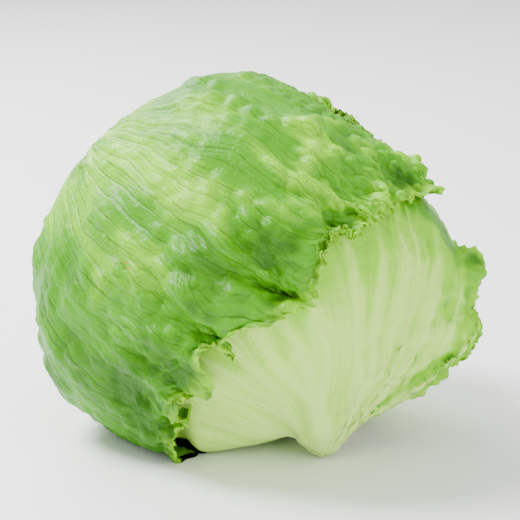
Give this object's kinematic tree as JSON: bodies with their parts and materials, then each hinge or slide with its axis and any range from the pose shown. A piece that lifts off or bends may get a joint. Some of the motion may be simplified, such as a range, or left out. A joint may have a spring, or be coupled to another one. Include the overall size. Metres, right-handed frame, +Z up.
{
  "type": "head of crisphead lettuce",
  "caption": "Round head of lettuce lying on its belly and cut stem: a packed heart wrapped in broad, loosely frilled leaves.",
  "frame": {"origin": "middle of the head's bounding box at table height", "axes": "+Z up, +X to the right along the longest extent, the head's open front faces -Y and its cut stem leans down towards +X"},
  "size_m": [0.1694, 0.153, 0.1377],
  "materials": {
    "heart": "pale packed leaves, moist and satin",
    "cut_stem": "pale fibrous core with a drying cut face",
    "heart_leaf_left": "light green blade with a pale rib, moist and satin",
    "heart_leaf_right": "light green blade with a pale rib, moist and satin",
    "left_back_leaf": "light green blade with a pale rib, moist and satin",
    "right_leaf": "light green blade with bright torn frills, moist and satin",
    "back_leaf": "green blade with a pale rib and frilled margin, moist and satin",
    "front_leaf": "whitish fan of thick ribs, green only towards the margin, moist and satin",
    "top_leaf": "mid green blistered blade with whitish veins and bright yellow-green frills, moist and glossy"
  },
  "bodies": {
    "root": {"heart": "heart", "cut_stem": "cut_stem", "heart_leaf_left": "heart_leaf_left", "heart_leaf_right": "heart_leaf_right", "left_back_leaf": "left_back_leaf", "right_leaf": "right_leaf", "back_leaf": "back_leaf", "front_leaf": "front_leaf", "top_leaf": "top_leaf"}
  },
  "joints": []
}
